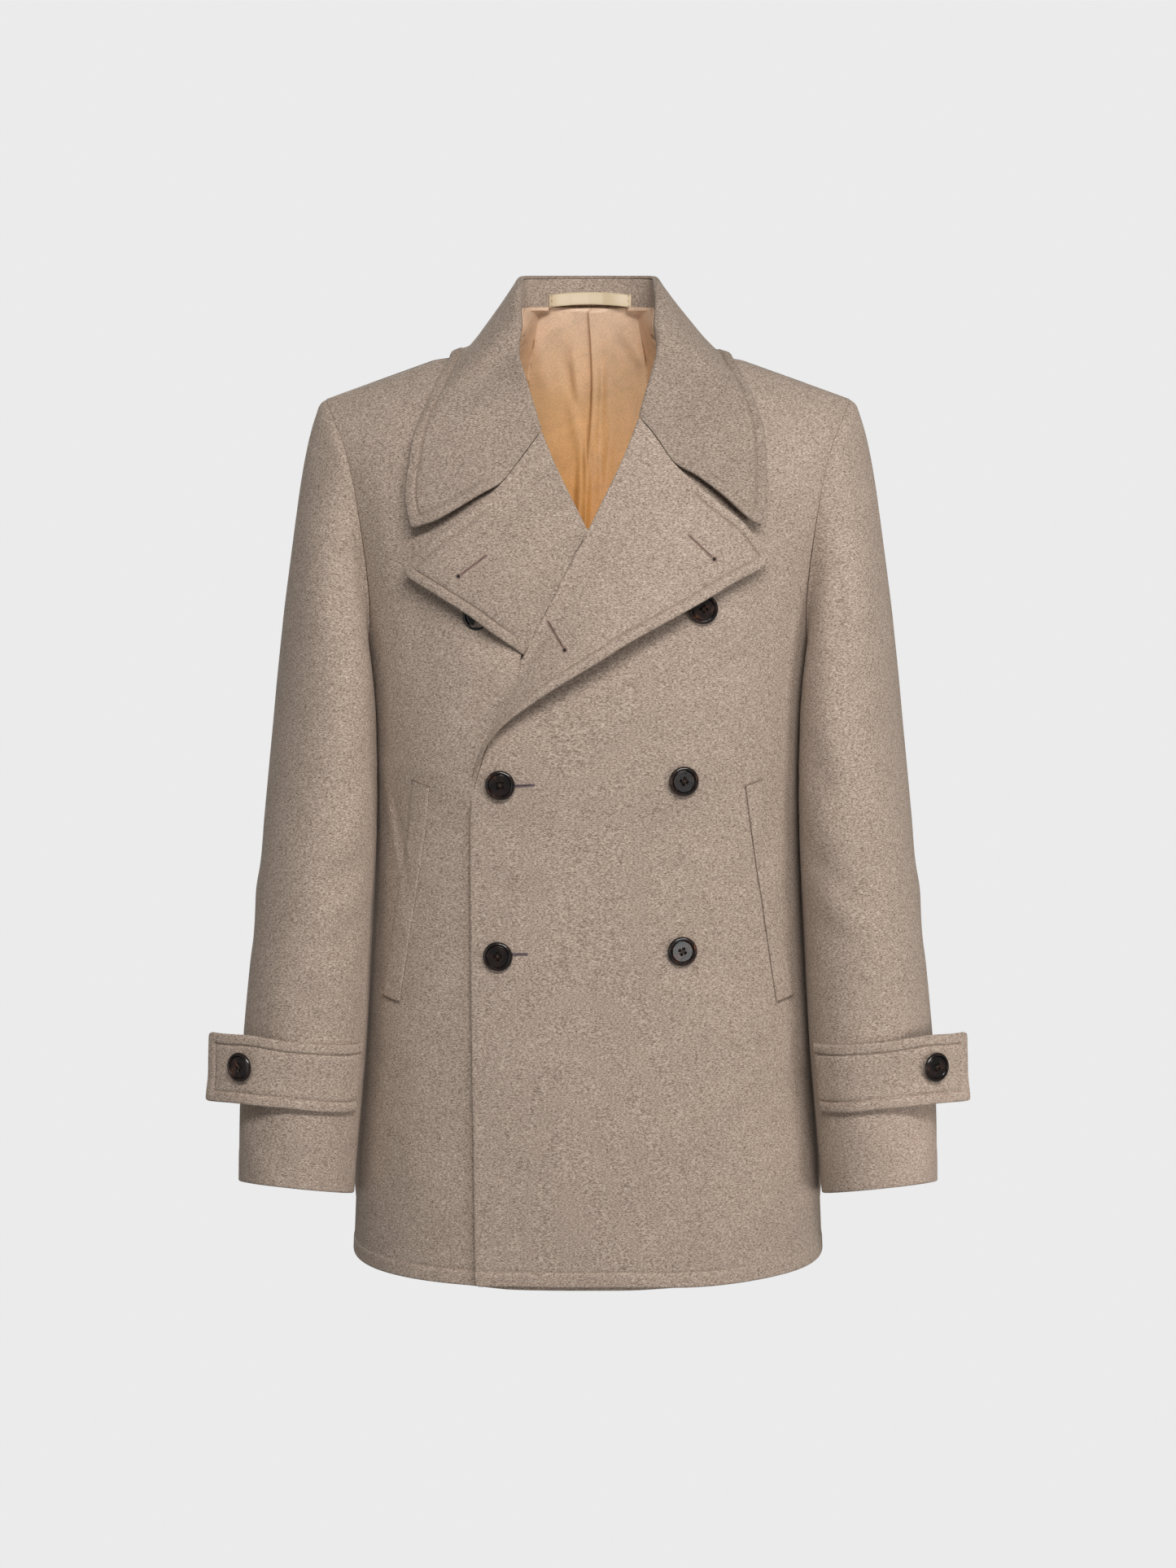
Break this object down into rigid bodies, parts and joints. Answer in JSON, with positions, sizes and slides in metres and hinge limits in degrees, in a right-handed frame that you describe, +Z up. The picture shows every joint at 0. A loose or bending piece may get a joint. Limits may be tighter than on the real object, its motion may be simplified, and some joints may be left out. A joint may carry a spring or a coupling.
{
  "type": "pea coat",
  "caption": "Double-breasted wool pea coat filled out as worn, with broad lapels, a turned-down collar, slanted welt pockets and buttoned cuff straps.",
  "frame": {"origin": "between the wearer's shoulders, at the height of the shoulder seams' inner ends, where the wearer's neck and shoulders hold the coat up", "axes": "+Z up, -Y the coat's front, +X the wearer's left"},
  "size_m": [0.6254, 0.2677, 0.8158],
  "materials": {
    "wool": "milled melange melton",
    "lining": "twill lining",
    "tape": "satin tape",
    "horn": "polished dark horn"
  },
  "bodies": {
    "root": {"front_over": "wool", "front_under": "wool", "back_left": "wool", "back_right": "wool", "top_sleeve_left": "wool", "top_sleeve_right": "wool", "under_sleeve_left": "wool", "under_sleeve_right": "wool", "lapel_over": "wool", "lapel_under": "wool", "collar_stand": "wool", "collar_leaf": "wool", "welt_left": "wool", "welt_right": "wool", "strap_left": "wool", "strap_right": "wool", "back_lining": "lining", "hanger_loop": "tape", "button_1": "horn", "button_2": "horn", "button_3": "horn", "button_4": "horn", "button_5": "horn", "button_6": "horn", "cuff_button_left": "horn", "cuff_button_right": "horn"}
  },
  "joints": []
}
